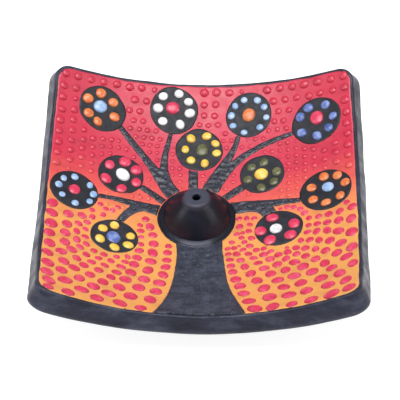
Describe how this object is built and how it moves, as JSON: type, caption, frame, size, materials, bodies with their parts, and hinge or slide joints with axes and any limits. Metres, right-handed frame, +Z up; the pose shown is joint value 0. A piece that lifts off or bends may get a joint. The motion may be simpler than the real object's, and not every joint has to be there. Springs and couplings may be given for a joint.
{
  "type": "incense stick holder",
  "caption": "Square dished clay incense dish with a blunt central stick cone, painted with a tree of life in raised dots.",
  "frame": {"origin": "middle of the flat foot under the dish, on the surface it stands on", "axes": "+Z up out of the dish, +Y towards the tree's crown, the trunk's foot towards -Y, +X to the right"},
  "size_m": [0.1082, 0.1082, 0.0262],
  "materials": {
    "clay": "dark slip over red clay, satin, hand-wiped",
    "cone_glaze": "near-black glaze, glossy",
    "slip": "near-black slip, glossy",
    "ground": "acrylic, red above fading to orange below, satin",
    "tree": "charcoal acrylic relief paint, satin",
    "red": "raised dot of acrylic relief paint, satin to gloss",
    "white": "raised dot of acrylic relief paint, satin to gloss",
    "orange": "raised dot of acrylic relief paint, satin to gloss",
    "light_blue": "raised dot of acrylic relief paint, satin to gloss",
    "blue": "raised dot of acrylic relief paint, satin to gloss",
    "yellow": "raised dot of acrylic relief paint, satin to gloss",
    "olive": "raised dot of acrylic relief paint, satin to gloss"
  },
  "bodies": {
    "root": {"beads_lower_left": "red", "beads_lower_right": "red", "beads_upper_left": "red", "beads_upper_right": "red", "blossom_01_disc": "tree", "blossom_01_heart": "light_blue", "blossom_01_petals": "orange", "blossom_02_disc": "tree", "blossom_02_heart": "red", "blossom_02_petals": "white", "blossom_03_disc": "tree", "blossom_03_heart": "orange", "blossom_03_petals": "light_blue", "blossom_04_disc": "tree", "blossom_04_heart": "red", "blossom_04_petals": "blue", "blossom_05_disc": "tree", "blossom_05_heart": "olive", "blossom_05_petals": "yellow", "blossom_06_disc": "tree", "blossom_06_heart": "white", "blossom_06_petals": "red", "blossom_07_disc": "tree", "blossom_07_heart": "yellow", "blossom_07_petals": "olive", "blossom_08_disc": "tree", "blossom_08_heart": "red", "blossom_08_petals": "light_blue", "blossom_09_disc": "tree", "blossom_09_heart": "light_blue", "blossom_09_petals": "orange", "blossom_10_disc": "tree", "blossom_10_heart": "blue", "blossom_10_petals": "yellow", "blossom_11_disc": "tree", "blossom_11_heart": "white", "blossom_11_petals": "red", "branch_beads": "tree", "clay_tray": "clay", "ground_paint": "ground", "incense_cone": "cone_glaze", "slip_ring": "slip", "trunk_and_branches": "tree", "trunk_beads": "tree"}
  },
  "joints": []
}
